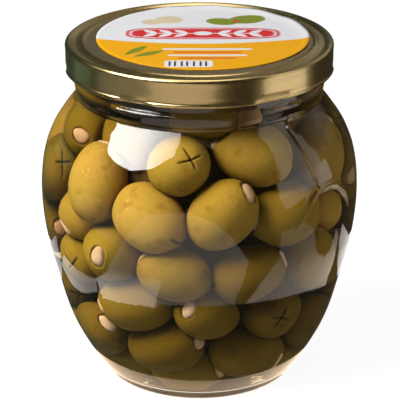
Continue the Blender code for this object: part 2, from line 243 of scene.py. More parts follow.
def far_card(name, hub, edge, colour, distance=900.0):
    """A card far from the jar, as a fan round its hub.

    The hub and each corner are a direction from the middle of the belly and a glow.
    """
    middle = np.array((0.0, 0.0, 60.0))
    corners = [middle + distance * direction(a, e) for a, e, _ in [hub] + edge]
    count = len(edge)
    faces = [(0, i + 1, (i + 1) % count + 1) for i in range(count)]
    obj = card(name, corners, faces, emissive(name, colour, None))
    glow = obj.data.attributes.new("glow", "FLOAT", "POINT")
    glow.data.foreach_set("value", [g for _, _, g in [hub] + edge])


def arc(radius, start, end, count):
    """Points on a circle round the jar from one azimuth to another."""
    angles = [math.radians(start + (end - start) * i / (count - 1)) for i in range(count)]
    return [(radius * math.sin(angle), -radius * math.cos(angle)) for angle in angles]


print("an arc of 3 points:", [tuple(round(v) for v in p) for p in arc(100.0, 0.0, 90.0, 3)])

# %% [markdown]
# The far cards are the softbox, seen as the white patch on the left shoulder, and the panel
# on the right. Two bent strips stand close by at the lid's height: a warm one draws the lid's
# bright right part, and a dim green one tints its left end.

# %% Cards that stand
STRIP_RADIUS, STRIP_HEAD_Z, STRIP_COLUMNS = 140.0, 118.0, 12

far_card("softbox_card", (-58, 44, 20),
         [(-90, 38, 20), (-83, 33, 20), (-66, 29, 20), (-55, 27, 20), (-48, 30, 18),
          (-40, 35, 14), (-31, 45, 9), (-23, 48, 6), (-22, 60, 6), (-57, 60, 18), (-90, 52, 20)],
         (1.0, 0.99, 0.985))
far_card("panel_card", (76, 22, 1.4),
         [(66, 40, 1.4), (62, 28, 1.4), (57, 9, 1.4), (57, -1, 1.4), (60, -7, 1.2), (79, -5, 1.2),
          (94, 0, 1.1), (97, 10, 1.1), (100, 24, 1.1), (93, 44, 1.2), (78, 57, 1.4), (65, 52, 1.4)],
         (1.0, 0.92, 0.83))
for name, start, end, foot_z, colour, strength in (
        ("lid_strip", 46.0, 86.0, 88.0, (1.0, 0.92, 0.83), 1.8),
        ("lid_shade", -88.0, -114.0, 90.0, (0.60, 1.0, 0.72), 0.25)):
    corners = [(x, y, z) for z in (foot_z, STRIP_HEAD_Z)
               for x, y in arc(STRIP_RADIUS, start, end, STRIP_COLUMNS)]
    faces = [(i, i + 1, i + 1 + STRIP_COLUMNS, i + STRIP_COLUMNS) for i in range(STRIP_COLUMNS - 1)]
    card(name, corners, faces, emissive(name, colour, strength))

# %% [markdown]
# The pale table is seen in the glass as cards that lie on it. The left one is widest, with a
# brighter glow close to the jar, and the dim one behind it ends the haze. The wedges draw the
# pale corners beside the belly, and the foot card lights the thick glass of the base.

# %% Cards on the table
table_card("left_table", arc(97.0, 21.0, -70.0, 24)
           + [(-111, -62), (-150, -121), (-190, -190), (-330, -450), (-415, -820), (-180, -1470),
              (94, -560), (96, -243), (84, -144), (58, -114)],
           0.4, (1.0, 0.90, 0.80), 1.05)
table_card("left_glow", arc(94.0, -27.0, -66.0, 14)
           + [(-105, -38), (-113, -80), (-109, -98), (-83, -98), (-68, -116), (-49, -116)],
           0.8, (1.0, 0.93, 0.86), 3.2, (106.0, 138.0, 1.0))
table_card("left_strip", [(-93, -33), (-95, 16), (-101, 51), (-125, 35), (-112, -15), (-105, -38)],
           0.4, (1.0, 0.95, 0.90), 1.5)
table_card("right_table", arc(97.0, 100.0, 29.0, 20)
           + [(94, -99), (126, -104), (205, -154), (267, -89), (206, -35), (150, -23), (135, 2),
              (142, 19), (181, 44), (156, 49), (115, 33)],
           0.4, (1.0, 0.88, 0.76), 1.45, (120.0, 160.0, 0.75))
table_card("left_dim", [(-190, -190), (-150, -121), (-240, -60), (-450, 20), (-800, -100),
                        (-800, -700), (-415, -820), (-330, -450)], 0.2, (1.0, 0.98, 0.90), 0.35)
table_card("left_wedge", [(-144, 68), (-103, 50), (-91, 55), (-68, 72), (-58, 95), (-62, 125),
                          (-85, 120), (-107, 92)], 0.4, (1.0, 0.96, 0.92), 0.9)
table_card("right_wedge", [(171, 71), (144, 52), (106, 49), (80, 64), (62, 95), (66, 130),
                           (90, 125), (111, 99)], 0.4, (1.0, 0.96, 0.92), 1.2)
table_card("foot_card", arc(46.0, 0.0, 360.0, 49)[:-1], 0.2, (1.0, 0.76, 0.55), 1.9)

# %% [markdown]
# The floor is pale and nearly shadowless. A white floor under strong lamps would do it too,
# but then it would light the jar from below. So most of its white is a glow of its own, and
# neither reflections nor scattered light see it.

# %% Floor
FLOOR_HALF = 3000.0
floor_paint, floor_tree, floor_shader = principled("pale_floor")
floor_paint.cycles.emission_sampling = "NONE"
feed(floor_tree, floor_shader, {
    "Base Color": (0.10, 0.10, 0.10), "Emission Color": (1.0, 1.0, 1.0),
    "Emission Strength": 0.93, "Roughness": 0.9, "Specular IOR Level": 0.0})
floor_corners = [(x * FLOOR_HALF, y * FLOOR_HALF, 0.0)
                 for x, y in ((-1, -1), (1, -1), (1, 1), (-1, 1))]
floor = sheet("floor", floor_corners, [(0, 1, 2, 3)], floor_paint, ("glossy", "diffuse"))
print("floor", [round(side, 1) for side in floor.dimensions[:2]], "m")

# %% [markdown]
# The world is one shader that answers each kind of ray differently. The camera sees white.
# Rays that went through the glass see white too, but only before they touch an olive, so that
# the brine isn't lit twice. Reflections see a dark room, greenish on the left and warm behind,
# with a pale ceiling that draws the bright lines on the lid's ridges. What light the olives
# scatter sees a soft fill. A photographed room as a picture could give all this, but not so
# that each part can be set alone.

# %% World
WHITE = (1.05, 1.05, 1.05)
ROOM_LEFT, ROOM_RIGHT, ROOM_BEHIND = (0.050, 0.066, 0.044), (0.040, 0.034, 0.022), (0.9, 0.8, 0.62)
CEILING = (3.4, 3.2, 2.9)
FILL_BELOW, FILL_ABOVE = (0.085, 0.070, 0.045), (0.36, 0.35, 0.33)

world = bpy.data.worlds.new("studio")
bpy.context.scene.world = world
world.use_nodes = True
sky = world.node_tree
sky.nodes.clear()
ray = sky.nodes.new("ShaderNodeLightPath").outputs
undiffused = maths(sky, "LESS_THAN", ray["Diffuse Depth"], 0.5)
mirrored = maths(sky, "MULTIPLY", undiffused,
                 maths(sky, "GREATER_THAN", ray["Glossy Depth"], 0.5))
straight = maths(sky, "SUBTRACT", undiffused, mirrored)
white_share = maths(sky, "MAXIMUM", ray["Is Camera Ray"],
                    maths(sky, "MULTIPLY", ray["Is Transmission Ray"], straight))
way = axis_parts(sky, sky.nodes.new("ShaderNodeTexCoord").outputs["Generated"])
to_right = maths(sky, "MAXIMUM", maths(sky, "MULTIPLY_ADD", way["X"], 0.9, 0.25), 0.0)
warm_share = maths(sky, "MULTIPLY", mapped(sky, way["Y"], 0.0, 1.0), to_right)
warm_share = maths(sky, "MULTIPLY", warm_share, mapped(sky, way["Z"], 0.1, 0.3))
room = colour_mix(sky, mapped(sky, way["X"], -0.333, 0.333), ROOM_LEFT, ROOM_RIGHT)
room = colour_mix(sky, warm_share, room, ROOM_BEHIND)
room = colour_mix(sky, mapped(sky, way["Z"], 0.90, 0.9714), room, CEILING)
fill = colour_mix(sky, mapped(sky, way["Z"], -0.4286, 1.0), FILL_BELOW, FILL_ABOVE)
scattered = colour_mix(sky, mirrored, fill, room)
backdrop = sky.nodes.new("ShaderNodeBackground")
feed(sky, backdrop, {"Color": colour_mix(sky, white_share, scattered, WHITE)})
feed(sky, sky.nodes.new("ShaderNodeOutputWorld"), {"Surface": backdrop.outputs[0]})
print("world with", len(sky.nodes), "nodes")

# %% [markdown]
# The jar is a body of turning with two handles moulded into its shoulder. It could be turned
# with a Screw modifier and sculpted, but the handles need a clean rolled edge. So one function
# gives the belly's radius at each height, and another the handles' height at each place: a
# flat strap, which ends at the bottom in a round roll across.

# %% Forms of the jar
BELLY = ((3, 38.8), (12, 45.0), (26, 51.9), (44, 57.0), (62, 61.1), (78, 62.3),
         (92, 60.9), (102, 57.4), (110, 52.3), (116, 47.5))
HANDLE_AZIMUTHS = (51.0, 231.0)
HANDLE_REACH = 30.0
STRAP_HALF_WIDTH = 7.4
STRAP_TOP_Z, STRAP_TOP_FADE = 118.5, 3.5
STRAP_NARROWS_Z, STRAP_NARROWING = 113.0, 3.0
STRAP_FOOT_Z, STRAP_FOOT_FADE = 91.0, 2.0
STRAP_LEAN = 2.0
STRAP_HEIGHT = (0.95, 1.3)
RELIEF_SOFTNESS = 0.35
FOOT_CREST_Z = 92.3
FOOT_DROP = 0.049
FOOT_HALF_SPAN = 17.5
FOOT_HALF_THICKNESS = 3.0
FOOT_HEIGHT = 1.9


def smoothstep(low, high, value):
    """Rise from 0 at low to 1 at high, with flat ends."""
    share = min(1.0, max(0.0, (value - low) / (high - low)))
    return share * share * (3.0 - 2.0 * share)


def belly_radius(z):
    """Outer radius of the belly at a height: a smooth curve through the BELLY stations."""
    z = min(max(z, BELLY[0][0]), BELLY[-1][0])
    index = 0
    while index < len(BELLY) - 2 and z > BELLY[index + 1][0]:
        index += 1

    def slope(i):
        before, after = BELLY[max(i - 1, 0)], BELLY[min(i + 1, len(BELLY) - 1)]
        return (after[1] - before[1]) / (after[0] - before[0])

    (z0, r0), (z1, r1) = BELLY[index], BELLY[index + 1]
    step = z1 - z0
    s = (z - z0) / step
    return ((2 * s**3 - 3 * s**2 + 1) * r0 + (s**3 - 2 * s**2 + s) * step * slope(index)
            + (3 * s**2 - 2 * s**3) * r1 + (s**3 - s**2) * step * slope(index + 1))


def handle_relief(azimuth, z):
    """How far the two moulded handles stand out of the belly at a place."""
    best = 0.0
    radius = belly_radius(z)
    for centre in HANDLE_AZIMUTHS:
        turn = (azimuth - centre + 180.0) % 360.0 - 180.0
        if abs(turn) > HANDLE_REACH:
            continue
        share = smoothstep(STRAP_FOOT_Z, STRAP_TOP_Z, z)
        across = math.radians(turn + STRAP_LEAN * (2.0 * share - 1.0)) * radius
        half = STRAP_HALF_WIDTH - STRAP_NARROWING * smoothstep(STRAP_NARROWS_Z, STRAP_TOP_Z, z)
        height = STRAP_HEIGHT[1] + (STRAP_HEIGHT[0] - STRAP_HEIGHT[1]) * share
        ends = smoothstep(STRAP_FOOT_Z - STRAP_FOOT_FADE, STRAP_FOOT_Z, z)
        ends *= 1.0 - smoothstep(STRAP_TOP_Z - STRAP_TOP_FADE, STRAP_TOP_Z, z)
        strap = height * ends * smoothstep(-RELIEF_SOFTNESS, RELIEF_SOFTNESS, half - abs(across))
        along = math.radians(turn) * radius
        taper = 1.0 - (along / FOOT_HALF_SPAN) ** 4
        foot = 0.0
        if taper > 0.0:
            off_crest = abs(z - (FOOT_CREST_Z - FOOT_DROP * along * along))
            half_roll = FOOT_HALF_THICKNESS * (0.4 + 0.6 * taper)
            foot = FOOT_HEIGHT * taper * (1.0 - smoothstep(0.0, half_roll, off_crest))
        best = max(best, strap, foot)
    return best


print("widest belly", round(2 * max(belly_radius(z) for z in range(60, 100)), 1), "mm")

# %% [markdown]
# Jar, brine, lid and core are all turned round one axis. A Screw modifier would turn a
# profile, but it can't change it on the way round for handles, threads and lugs. So a grid of
# rings is laid, and a function gives each of its points a radius and a height.

# %% Turned bodies
def object_from(bm, name, mesh=None):
    """Turn a bmesh into a smooth object with its faces looking outward."""
    bmesh.ops.recalc_face_normals(bm, faces=bm.faces)
    mesh = mesh or bpy.data.meshes.new(name)
    bm.to_mesh(mesh)
    bm.free()
    mesh.shade_smooth()
    return new_object(name, mesh)


def turned_body(name, rings, azimuths, place=lambda ring, azimuth: ring):
    """Close a body of rings: place(ring, azimuth) gives radius and height in millimetres."""
    bm = bmesh.new()
    rows = []
    for ring in rings:
        row = []
        for azimuth in azimuths:
            radius, z = place(ring, azimuth)
            angle = math.radians(azimuth)
            row.append(bm.verts.new((radius * math.sin(angle) * MM,
                                     -radius * math.cos(angle) * MM, z * MM)))
        rows.append(row)
    count = len(azimuths)
    for upper, lower in zip(rows, rows[1:]):
        for i in range(count):
            j = (i + 1) % count
            bm.faces.new((upper[i], upper[j], lower[j], lower[i]))
    for row in (rows[0], rows[-1]):
        tip = bm.verts.new((0.0, 0.0, sum(v.co.z for v in row) / count))
        for i in range(count):
            bm.faces.new((row[(i + 1) % count], row[i], tip))
    return object_from(bm, name)


def span(start, end, step):
    """Evenly spaced values from start to end, both included, at most a step apart."""
    count = max(1, math.ceil(abs(end - start) / step))
    return [start + (end - start) * i / count for i in range(count + 1)]


def dressed(obj, node, mat):
    """Let a piece ride on the object, stand for a node and carry its material."""
    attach(obj, "root")
    if node:
        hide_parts(node)
    obj.data.materials.clear()
    obj.data.materials.append(mat)
    print(obj.name, len(obj.data.polygons), "faces")
    return obj


# %% [markdown]
# Moulded glass is never flat: it has a broad swell with a fine orange peel on it. Fruit,
# garlic and lacquer are mottled. Each could be painted as a picture, but noise has no seams
# and keeps its size. More than one material uses each effect, so each is a node group.

# %% Shared effects
def new_group(name, inputs, output, kind):
    """Start a node group of number inputs, as its tree, its inputs and its exit node."""
    group = bpy.data.node_groups.new(name, "ShaderNodeTree")
    for title in inputs:
        group.interface.new_socket(title, in_out="INPUT", socket_type="NodeSocketFloat")
    group.interface.new_socket(output, in_out="OUTPUT", socket_type="NodeSocket" + kind)
    return group, group.nodes.new("NodeGroupInput").outputs, group.nodes.new("NodeGroupOutput")


def use_group(tree, group, *values):
    """Place a node group in a material with its own values, and give back its output."""
    node = tree.nodes.new("ShaderNodeGroup")
    node.node_tree = group
    feed(tree, node, dict(enumerate(values)))
    return node.outputs[0]


def object_noise(tree, size, detail):
    """Noise over the object, with a size in millimetres."""
    noise = tree.nodes.new("ShaderNodeTexNoise")
    feed(tree, noise, {"Vector": object_place(tree), "Detail": detail,
                       "Scale": maths(tree, "DIVIDE", 1.0 / MM, size)})
    return noise.outputs["Fac"]


def bump(tree, height, depth, strength, under=None):
    """A normal roughened by a height, with a depth in millimetres, over another normal."""
    node = tree.nodes.new("ShaderNodeBump")
    feed(tree, node, {"Height": height, "Distance": depth * MM, "Strength": strength})
    if under:
        feed(tree, node, {"Normal": under})
    return node.outputs[0]


mottle, given, leave = new_group("mottle", ("Size", "Low", "High", "Detail"), "Mask", "Float")
spots = object_noise(mottle, given["Size"], given["Detail"])
feed(mottle, leave, {"Mask": mapped(mottle, spots, given["Low"], given["High"])})

SWELL_DEPTH, PEEL_DEPTH = 0.05, 0.014
waves, given, leave = new_group("moulded_waves", ("Swell Size", "Peel Size", "Strength"),
                                "Normal", "Vector")
swell = bump(waves, object_noise(waves, given["Swell Size"], 1.0), SWELL_DEPTH, given["Strength"])
peel = bump(waves, object_noise(waves, given["Peel Size"], 1.0), PEEL_DEPTH, given["Strength"],
            swell)
feed(waves, leave, {"Normal": peel})
print("groups:", [group.name for group in bpy.data.node_groups])

# %% [markdown]
# Clear glass is a Principled shader with full transmission. A lamp can't find its way through
# refracting glass in a path tracer, so shadow rays see the pane as transparent and the olives
# behind it are lit cleanly. The brine uses the same trick with a lower index of refraction.
# It has drawn colour from the olives, so it also swallows blue with depth.

# %% Clear materials
GLASS_IOR, BRINE_IOR = 1.5, 1.35


def clear_material(name, ior, tint=(1.0, 1.0, 1.0), wavy=True):
    """A clear boundary whose inner side has a given index against its outer side."""
    mat, tree, shader = principled(name)
    feed(tree, shader, {"Base Color": tint, "Roughness": 0.0, "IOR": ior,
                        "Transmission Weight": 1.0})
    if wavy:
        feed(tree, shader, {"Normal": use_group(tree, waves, 14.0, 2.4, 1.0)})
    path, mix = tree.nodes.new("ShaderNodeLightPath"), tree.nodes.new("ShaderNodeMixShader")
    clear = tree.nodes.new("ShaderNodeBsdfTransparent")
    feed(tree, mix, {0: path.outputs["Is Shadow Ray"], 1: shader.outputs[0], 2: clear.outputs[0]})
    feed(tree, tree.nodes["Material Output"], {"Surface": mix.outputs[0]})
    return mat


def brine_material(name, ior):
    """A clear boundary with brine inside."""
    mat = clear_material(name, ior, wavy=False)
    tree = mat.node_tree
    drink = tree.nodes.new("ShaderNodeVolumeAbsorption")
    feed(tree, drink, {"Color": (0.80, 0.62, 0.30), "Density": 12.0})
    feed(tree, tree.nodes["Material Output"], {"Volume": drink.outputs[0]})
    return mat


jar_glass = clear_material("jar_glass", GLASS_IOR, (0.985, 0.995, 0.99))
wetted_glass = clear_material("wetted_glass", GLASS_IOR / BRINE_IOR)
brine_side = brine_material("brine_side", 1.0)
brine_top = brine_material("brine_top", BRINE_IOR)
print("glass against brine:", round(GLASS_IOR / BRINE_IOR, 3))

# %% [markdown]
# The glass goes from the push-up over the bearing ring, heel, belly and neck to the lip, then
# inside down again to the floor. The wall could be a Solidify modifier on one skin, but a real
# jar's wall is thicker at heel and neck, so the inside has a form of its own.

# %% Inside of the jar
WALL = 3.2
FLOOR_THICKNESS = 4.0
HEEL_EXTRA, HEEL_TOP_Z = 3.5, 12.0
NECK_FROM_Z, NECK_TO_Z = 110.0, 117.0
MOUTH_RADIUS = 43.6
CORNER_Z = 7.5
CORNER_STRETCH = 1.6
BRINE_TOP = 128.5
INTO_WALL = 0.25


def cavity_radius(z):
    """Inner radius of the jar at a height, closing round the heel and at the neck."""
    if z > NECK_TO_Z:
        return MOUTH_RADIUS
    heel = HEEL_EXTRA * (1.0 - smoothstep(FLOOR_THICKNESS - 1.0, HEEL_TOP_Z, z))
    neck_in = smoothstep(NECK_FROM_Z, NECK_TO_Z, z)
    return (belly_radius(z) - WALL - heel) * (1.0 - neck_in) + MOUTH_RADIUS * neck_in


def cavity_corner():
    """The rounded inner corner between wall and floor, as radius and height."""
    wall, drop = cavity_radius(CORNER_Z), CORNER_Z - FLOOR_THICKNESS
    angles = [share * math.pi / 2 for share in (0.2, 0.4, 0.6, 0.8, 1.0)]
    return [(wall - CORNER_STRETCH * drop * (1.0 - math.cos(a)), CORNER_Z - drop * math.sin(a))
            for a in angles]


print("mouth", 2 * MOUTH_RADIUS, "mm, inside at the belly", round(2 * cavity_radius(78.0), 1), "mm")

# %% [markdown]
# Outside, rings lie close together where the handles stand out, and so do the columns at the
# handles' flanks. A fine grid everywhere would show the same and cost four times the faces.

# %% Jar
BEARING_RING = (31.0, 34.0)
PUSH_UP, PUSH_UP_FLAT = 2.5, 18.0
NECK_RADIUS = 48.2
NECK_RING_Z, NECK_RING_BULGE, NECK_RING_WIDTH = 120.6, 0.25, 1.4
WAIST_Z, WAIST_DEPTH, WAIST_WIDTH = 117.6, 0.35, 1.1
FINISH_RADIUS = 47.2
LIP_Z = 135.2
THREAD_PITCH, THREAD_TOP_Z, THREAD_FALL = 60.0, 131.5, 3.0
THREAD_HEIGHT, THREAD_HALF_WIDTH = 1.4, 0.9
LUG_AZIMUTH = 32.0


def jar_columns():
    """Azimuths of the jar's columns: dense at the flanks of each handle, coarse elsewhere."""
    azimuths = []
    for centre in HANDLE_AZIMUTHS:
        start = -19.0
        azimuths.append(centre + start)
        for end, step in ((-10.5, 0.35), (-4.5, 0.15), (4.5, 0.35), (10.5, 0.15), (19.0, 0.35),
                          (161.0, 3.6)):
            azimuths += span(centre + start, centre + end, step)[1:]
            start = end
        azimuths.pop()
    return azimuths


def jar_rings():
    """Rings of the jar as radius, height and kind, from the push-up round to the floor."""
    rings = [(r, PUSH_UP * (1.0 - smoothstep(PUSH_UP_FLAT, BEARING_RING[0], r)), "plain")
             for r in span(3.0, BEARING_RING[0], 2.0)]
    rings.append((BEARING_RING[1], 0.0, "plain"))
    heel_z, heel_radius = BELLY[0]
    for share in (0.15, 0.3, 0.45, 0.6, 0.75, 0.9):
        angle = share * math.pi / 2
        rings.append((BEARING_RING[1] + (heel_radius - BEARING_RING[1]) * math.sin(angle),
                      heel_z * (1.0 - math.cos(angle)), "plain"))
    rings += [(belly_radius(z), z, "relief") for z in span(3.0, 76.0, 2.4) + span(76.5, 116.0, 0.5)]
    for z in span(116.5, 123.5, 0.4):
        bulge = NECK_RING_BULGE * math.exp(-((z - NECK_RING_Z) / NECK_RING_WIDTH) ** 2)
        waist = WAIST_DEPTH * math.exp(-((z - WAIST_Z) / WAIST_WIDTH) ** 2)
        fall = (NECK_RADIUS - FINISH_RADIUS) * smoothstep(121.0, 123.0, z)
        rings.append((NECK_RADIUS + bulge - waist - fall, z, "relief"))
    rings += [(FINISH_RADIUS, z, "thread") for z in span(124.2, 133.6, 0.8)]
    for radius, below in ((FINISH_RADIUS - 0.3, 0.8), (FINISH_RADIUS - 0.8, 0.2),
                          (FINISH_RADIUS - 1.6, 0.0), (MOUTH_RADIUS + 0.9, 0.0),
                          (MOUTH_RADIUS + 0.2, 0.5)):
        rings.append((radius, LIP_Z - below, "plain"))
    for z in span(LIP_Z - 1.4, BRINE_TOP, 1.6) + span(BRINE_TOP - 1.5, CORNER_Z, 2.4):
        rings.append((cavity_radius(z), z, "plain"))
    rings += [(r, z, "plain") for r, z in cavity_corner()]
    rings.append((10.0, FLOOR_THICKNESS, "plain"))
    return rings


def thread_relief(azimuth, z):
    """Height of the short slanting threads round the finish."""
    share = ((azimuth - LUG_AZIMUTH + THREAD_PITCH / 3.0) % THREAD_PITCH) / THREAD_PITCH
    centre = THREAD_TOP_Z - THREAD_FALL * share
    ends = smoothstep(0.0, 0.15, share) * (1.0 - smoothstep(0.8, 0.95, share))
    return THREAD_HEIGHT * ends * math.exp(-((z - centre) / THREAD_HALF_WIDTH) ** 2)


def jar_place(ring, azimuth):
    """Radius and height of one point of the jar."""
    radius, z, kind = ring
    if kind == "relief":
        radius += handle_relief(azimuth, z)
    if kind == "thread":
        radius += thread_relief(azimuth, z)
    return radius, z


jar = turned_body("jar_glass", jar_rings(), jar_columns(), jar_place)
dressed(jar, "jar", jar_glass)
jar.data.materials.append(wetted_glass)
for face in jar.data.polygons:
    spot = face.center / MM
    inside = math.hypot(spot.x, spot.y) < cavity_radius(max(spot.z, CORNER_Z)) + 0.6
    if inside and FLOOR_THICKNESS - 0.3 < spot.z < BRINE_TOP:
        face.material_index = 1

# %% [markdown]
# The brine is a second closed body. It could share the glass's inner skin, but a path tracer
# needs each clear body closed by itself. So it reaches a quarter of a millimetre into the
# wall, and no film of air shines between them.

# %% Brine
brine_rings = [(cavity_radius(z) + INTO_WALL, z) for z in span(BRINE_TOP, CORNER_Z, 2.0)]
brine_rings += [(r + 0.7 * INTO_WALL, z - 0.7 * INTO_WALL) for r, z in cavity_corner()]
brine_rings.append((10.0, FLOOR_THICKNESS - INTO_WALL))
brine = turned_body("brine", brine_rings, span(0.0, 357.0, 3.0))
dressed(brine, None, brine_side)
brine.data.materials.append(brine_top)
for face in brine.data.polygons:
    if face.center.z / MM > BRINE_TOP - 0.1:
        face.material_index = 1

# %% [markdown]
# The olives lie as they fell: about seventy, pressed against the wall. Each could be modelled
# and placed by hand. Only those at the front are placed one by one, by azimuth, height, depth
# behind the wall, size, azimuth and rise of the stuffed end, and a tone from yellow (-1) to
# brown (+1). The tone also carries painted shade: the low olives, those at the edges and those
# in the middle are set browner and darker where less light reaches them. The edge ones have no
# depth, and rings of others fill the back and the middle.

# %% Where the olives lie
OLIVE_LENGTH = 28.5
OLIVE_DIAMETER = 22.6
OLIVE_CLEARANCE = 0.5
SEED = 11
FRONT_OLIVES = (
    (-84, 99, 7, 0.97, -25, 5, 1.0), (-52, 88, 2, 1.00, 150, 65, -0.8),
    (-22, 80, 2, 1.02, -130, 25, -0.9), (10, 83, 1, 1.00, 75, 45, -0.3),
    (-86, 84, 1, 0.92, 180, -30, 1.0), (-50, 101, 13, 1.02, 185, 68, 0.6),
    (-10, 99, 3, 0.94, -158, -30, -0.4), (4, 117, 1, 0.90, 90, -5, 0.8),
    (30, 101, 3, 1.04, -93, 15, -0.8), (70, 95, 1, 0.96, 146, 55, -0.4),
    (41, 79, 2, 0.97, -62, 0, 0.2), (-68, 74, 11, 0.88, -90, -35, -0.6),
    (-98, 61, 1, 0.90, 13, 15, 1.2), (-43, 64, 3, 0.95, -34, 5, 0.0),
    (-73, 56, 9, 0.82, 140, 10, 0.0), (-11, 60, 2, 0.96, -105, 15, 0.3),
    (23, 59, 2, 0.98, 100, 20, 1.0), (57, 59, 1, 0.90, -105, 60, -0.1),
    (-33, 44, 1, 1.00, -94, -10, 0.7), (4, 42, 3, 0.92, -37, 25, 1.0),
    (41, 39, 3, 0.96, -156, 0, 1.2), (-64, 27, 0, 0.98, 5, 25, 1.1),
    (-20, 26, 2, 0.97, 71, 15, 1.2), (31, 22, 3, 1.00, 91, -26, 1.1),
    (75, 29, 3, 0.91, 146, -53, 1.3), (-108, 38, 1, 0.91, -165, 5, 0.8),
    (72, 74, 10, 0.72, 162, -30, -0.7), (-68, 15, 9, 0.84, -160, -30, 0.7),
)
EDGE_OLIVES = (
    (88, 47, 0.95, 60, 10, 0.3), (82, 80, 0.92, 35, 5, 0.6), (96, 103, 0.95, 20, 50, 0.4),
    (-100, 106, 0.95, 30, 40, 0.5), (-6, 12, 0.92, 95, 0, 0.5), (-47, 12, 0.92, 60, 5, 0.4),
    (38, 11, 0.92, 120, 5, 0.6), (75, 12, 0.90, 150, 0, 0.5), (-85, 13, 0.90, 10, 0, 0.4),
)
# Heights and counts of the rings of olives at the back and in the middle
BACK_RINGS = ((107, 3), (90, 4), (69, 5), (49, 5), (30, 4), (13, 3))
BACK_FROM, BACK_TO = 104.0, 262.0
INNER_RINGS = ((28, 2), (55, 3), (82, 3))
INNER_RADIUS = 19.0


def room_for_ball(z, radius):
    """How far from the axis a ball's centre can be at a height, for the ball to clear the wall."""
    room = 100.0
    for rise in range(-75, 76, 15):
        a = math.radians(rise)
        room = min(room, cavity_radius(z + radius * math.sin(a)) - radius * math.cos(a))
    return room


def olive_list():
    """All olives as dictionaries: home, long axis, size, tone and place."""
    rng = np.random.default_rng(SEED)
    looks = np.random.default_rng(SEED + 2)
    olives = []

    def add(azimuth, z, depth, size, heading, rise, tone, where):
        width = OLIVE_DIAMETER * size
        radius = room_for_ball(z, width / 2 + OLIVE_CLEARANCE) - depth
        radius = INNER_RADIUS if where == "inner" else radius
        home = radius * direction(azimuth, 0.0) + np.array((0.0, 0.0, z))
        olives.append({"home": home, "where": where, "length": OLIVE_LENGTH * size,
                       "width": width, "tone": tone, "axis": direction(heading, rise),
                       "turn": looks.uniform(0.0, math.pi)})

    for row in FRONT_OLIVES:
        add(*row, "front")
    for azimuth, z, size, heading, rise, tone in EDGE_OLIVES:
        add(azimuth, z, 0.0, size, heading, rise, tone, "edge")
    for ring, (z, count) in enumerate(BACK_RINGS):
        for i in range(count):
            share = (i + 0.5 + 0.25 * (-1) ** ring) / count
            azimuth = BACK_FROM + (BACK_TO - BACK_FROM) * share
            heading = azimuth + 90.0 + rng.uniform(-25, 25)
            add(azimuth, z, 0.0, rng.uniform(0.94, 1.05), heading, rng.uniform(-60, 60),
                looks.uniform(-0.6, 0.8), "back")
    for ring, (z, count) in enumerate(INNER_RINGS):
        for i in range(count):
            azimuth = 360.0 * (i + 0.5 * (ring % 2)) / count
            # The olives in the middle get a brown tone of 0.7 as painted shade.
            add(azimuth, z, 0.0, rng.uniform(0.92, 1.0), rng.uniform(0, 360),
                rng.uniform(-50, 50), 0.7, "inner")
    return olives


olives = olive_list()
print(len(olives), "olives,", len(FRONT_OLIVES), "of them placed one by one")

# %% [markdown]
# The front olives stay where they are, and the rest are pushed apart until they only touch.
# A rigid body simulation does this too, but slowly and not the same on each machine. Here each
# olive is taken as three balls in a row, which push each other and stay inside the wall.

# %% Settle the heap
HEAP_TOP_Z = 122.0
LONGEST_STEP = 0.8
SINK_FREEDOM = 0.8
PUSH_SHARE = 0.12
EDGE_HOLD, LOOSE_HOLD = 0.06, 0.004
BALL_OFFSETS, BALL_SIZES = np.array((-0.22, 0.0, 0.22)), np.array((0.435, 0.5, 0.435))


def settle(olives, rounds=260):
    """Push the olives apart until they only touch, and note each one's centre."""
    lengths = np.array([o["length"] for o in olives])
    widths = np.array([o["width"] for o in olives])
    axes = np.array([o["axis"] for o in olives])
    homes = np.array([o["home"] for o in olives])
    free = np.array([o["where"] != "front" for o in olives])
    hold = np.array([EDGE_HOLD if o["where"] == "edge" else LOOSE_HOLD for o in olives])
    centres = homes.copy()
    outward = homes * (1.0, 1.0, 0.0)
    outward /= np.linalg.norm(outward, axis=1, keepdims=True)
    reach = (BALL_OFFSETS[None, :] * lengths[:, None])[:, :, None] * axes[:, None, :]
    radii = (BALL_SIZES[None, :] * widths[:, None]).ravel()
    owner = np.repeat(np.arange(len(olives)), 3)
    others = owner[:, None] != owner[None, :]
    for turn in range(rounds):
        loosening = 1.0 - 0.9 * turn / rounds
        points = (centres[:, None, :] + reach).reshape(-1, 3)
        apart = points[:, None, :] - points[None, :, :]
        distance = np.linalg.norm(apart, axis=2) + 1e-9
        overlap = np.where(others, radii[:, None] + radii[None, :] - distance, 0.0)
        overlap = np.maximum(overlap, 0.0)
        push = (apart / distance[:, :, None] * overlap[:, :, None]).sum(axis=1)
        moves = np.zeros_like(centres)
        np.add.at(moves, owner, PUSH_SHARE * push)
        away = homes - centres
        inward = (away * outward).sum(axis=1, keepdims=True) * outward
        moves += loosening * hold[:, None] * (away - SINK_FREEDOM * inward)
        moves *= free[:, None]
        length = np.linalg.norm(moves, axis=1, keepdims=True)
        centres = centres + moves * np.minimum(1.0, LONGEST_STEP / (length + 1e-9))
        points = (centres[:, None, :] + reach).reshape(-1, 3)
        for index, point in enumerate(points):
            olive, radius = owner[index], radii[index] + OLIVE_CLEARANCE
            if not free[olive]:
                continue
            out = math.hypot(point[0], point[1])
            excess = out - room_for_ball(point[2], radius)
            if excess > 0.0:
                centres[olive, :2] -= point[:2] / out * excess
            centres[olive, 2] += max(0.0, FLOOR_THICKNESS + radius - point[2])
            centres[olive, 2] -= max(0.0, point[2] + radius - HEAP_TOP_Z)
    for olive, centre in zip(olives, centres):
        olive["centre"] = centre


settle(olives)
print("highest olive's centre", round(max(o["centre"][2] for o in olives), 1), "mm")

# %% [markdown]
# Soft olives flatten where they press on each other. A cloth or soft body simulation could
# press them, but a plane between each pair of neighbours gives the same flat spot at once.

# %% Contacts
NEIGHBOUR_DISTANCE = 34.0
CONTACT_GAP = 0.12
NEAR_MISS = 0.4


